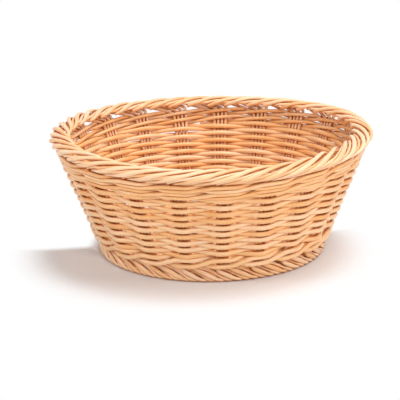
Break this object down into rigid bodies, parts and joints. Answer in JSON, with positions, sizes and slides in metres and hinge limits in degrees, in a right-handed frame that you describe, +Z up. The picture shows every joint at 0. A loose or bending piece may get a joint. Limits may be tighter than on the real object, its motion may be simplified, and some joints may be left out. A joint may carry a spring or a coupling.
{
  "type": "plastic basket",
  "caption": "Round open bread basket hand-woven from honey-coloured plastic rods, with sloping sides, a thick rolled rim, a rolled foot and a flat woven base.",
  "frame": {"origin": "middle of the foot, on the surface that the basket stands on", "axes": "+Z up along the axis of the basket, -Y towards the viewer of the picture"},
  "size_m": [0.2281, 0.228, 0.0895],
  "materials": {
    "stake_plastic": "satin",
    "weaver_plastic": "satin",
    "wale_plastic": "satin",
    "base_plastic": "satin"
  },
  "bodies": {
    "root": {"stake_01": "stake_plastic", "stake_02": "stake_plastic", "stake_03": "stake_plastic", "stake_04": "stake_plastic", "stake_05": "stake_plastic", "stake_06": "stake_plastic", "stake_07": "stake_plastic", "stake_08": "stake_plastic", "stake_09": "stake_plastic", "stake_10": "stake_plastic", "stake_11": "stake_plastic", "stake_12": "stake_plastic", "stake_13": "stake_plastic", "stake_14": "stake_plastic", "stake_15": "stake_plastic", "stake_16": "stake_plastic", "stake_17": "stake_plastic", "stake_18": "stake_plastic", "stake_19": "stake_plastic", "stake_20": "stake_plastic", "stake_21": "stake_plastic", "weaver_01": "weaver_plastic", "weaver_02": "weaver_plastic", "weaver_03": "weaver_plastic", "weaver_04": "weaver_plastic", "weaver_05": "weaver_plastic", "weaver_06": "weaver_plastic", "weaver_07": "weaver_plastic", "weaver_08": "weaver_plastic", "weaver_09": "weaver_plastic", "weaver_10": "weaver_plastic", "weaver_11": "weaver_plastic", "weaver_12": "weaver_plastic", "weaver_13": "weaver_plastic", "weaver_14": "weaver_plastic", "weaver_15": "weaver_plastic", "weaver_16": "weaver_plastic", "weaver_17": "weaver_plastic", "weaver_18": "weaver_plastic", "lower_wale_rod_1": "wale_plastic", "lower_wale_rod_2": "wale_plastic", "lower_wale_rod_3": "wale_plastic", "upper_wale_1_rod_1": "wale_plastic", "upper_wale_1_rod_2": "wale_plastic", "upper_wale_1_rod_3": "wale_plastic", "upper_wale_2_rod_1": "wale_plastic", "upper_wale_2_rod_2": "wale_plastic", "upper_wale_2_rod_3": "wale_plastic", "base_sticks_upper": "base_plastic", "base_sticks_lower": "base_plastic", "base_short_stick_1": "base_plastic", "base_weave_top": "base_plastic", "base_weave_underside": "base_plastic"}
  },
  "joints": []
}
